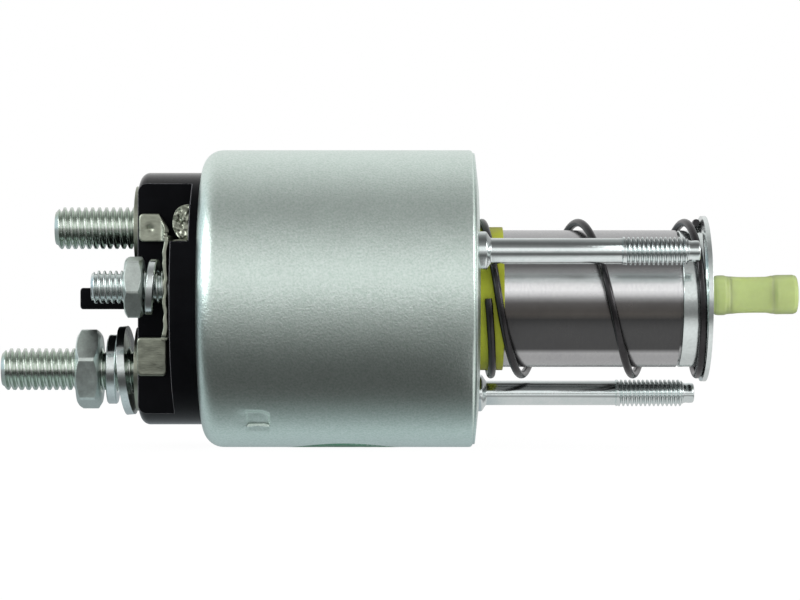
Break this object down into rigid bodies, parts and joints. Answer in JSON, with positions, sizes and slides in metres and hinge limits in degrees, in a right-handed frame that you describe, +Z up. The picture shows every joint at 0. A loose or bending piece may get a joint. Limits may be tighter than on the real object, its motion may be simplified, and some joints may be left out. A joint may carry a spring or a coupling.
{
  "type": "starter solenoid",
  "caption": "Cylindrical solenoid for an engine starter: steel can, moulded terminal cap, sprung plunger and a plastic link for the shift lever.",
  "frame": {"origin": "centre of the mounting face, the front of the front plate, on the axis of the solenoid", "axes": "+X along the axis towards the plunger and its link, +Z up across the two large contact studs, -Y towards the side of the small control stud"},
  "size_m": [0.1436, 0.0536, 0.0534],
  "materials": {
    "can_zinc": "dull zinc plate",
    "stud_zinc": "bright zinc plate",
    "tinned_strip": "tin plate",
    "black_moulding": "moulded thermoset with a low gloss",
    "yellow_plastic": "moulded",
    "pale_plastic": "moulded, slightly translucent",
    "insulator_plastic": "moulded",
    "ground_steel": "ground",
    "core_steel": "turned",
    "spring_wire": "dark drawn wire",
    "enamelled_wire": "enamelled copper",
    "contact_copper": "bare copper",
    "bush_brass": "turned brass",
    "seal_rubber": "plain rubber"
  },
  "bodies": {
    "solenoid_body": {"housing": "can_zinc", "front_plate": "can_zinc", "mounting_stud_upper": "stud_zinc", "mounting_stud_lower": "stud_zinc", "coil_bobbin": "yellow_plastic", "pull_in_winding": "enamelled_wire", "hold_in_winding": "enamelled_wire", "stator_core": "core_steel", "core_bush": "bush_brass", "terminal_cap": "black_moulding", "cap_gasket": "seal_rubber", "upper_contact_stud": "stud_zinc", "lower_contact_stud": "stud_zinc", "stud_base_washers": "tinned_strip", "lower_stud_flat_washer": "stud_zinc", "lower_stud_lock_washer": "stud_zinc", "lower_stud_nut": "stud_zinc", "terminal_50_stud": "stud_zinc", "terminal_50_lock_washer": "stud_zinc", "terminal_50_nut": "stud_zinc", "terminal_50_strip": "tinned_strip", "winding_lead": "tinned_strip", "contact_return_spring": "spring_wire", "return_spring": "spring_wire"},
    "moving_rod": {"contact_rod": "core_steel", "rod_clip": "spring_wire", "contact_pressure_spring": "spring_wire"},
    "moving_contact": {"contact_disc": "contact_copper", "contact_insulator": "insulator_plastic"},
    "plunger_group": {"plunger": "ground_steel", "spring_retainer": "stud_zinc", "mesh_spring": "spring_wire"},
    "link": {"plunger_link": "pale_plastic"}
  },
  "joints": [
    {"name": "plunger_slide", "type": "slide", "parent": "solenoid_body", "child": "plunger_group", "axis": [-1, 0, 0], "range_m": [0, 0.011], "stiffness_N_per_m": 800, "deforming": ["return_spring"]},
    {"name": "link_slide", "type": "slide", "parent": "plunger_group", "child": "link", "axis": [1, 0, 0], "range_m": [0, 0.005], "stiffness_N_per_m": 15000, "springref_m": -0.003, "deforming": ["mesh_spring"]},
    {"name": "rod_slide", "type": "slide", "parent": "solenoid_body", "child": "moving_rod", "axis": [-1, 0, 0], "range_m": [0, 0.003], "stiffness_N_per_m": 2800, "deforming": ["contact_return_spring"]},
    {"name": "contact_slide", "type": "slide", "parent": "moving_rod", "child": "moving_contact", "axis": [1, 0, 0], "range_m": [0, 0.001], "stiffness_N_per_m": 4400, "deforming": ["contact_pressure_spring"]}
  ],
  "couplings": [
    {"joint": "rod_slide", "follows": "plunger_slide", "ratio": 0.2727},
    {"joint": "contact_slide", "follows": "plunger_slide", "ratio": 0.0909}
  ]
}
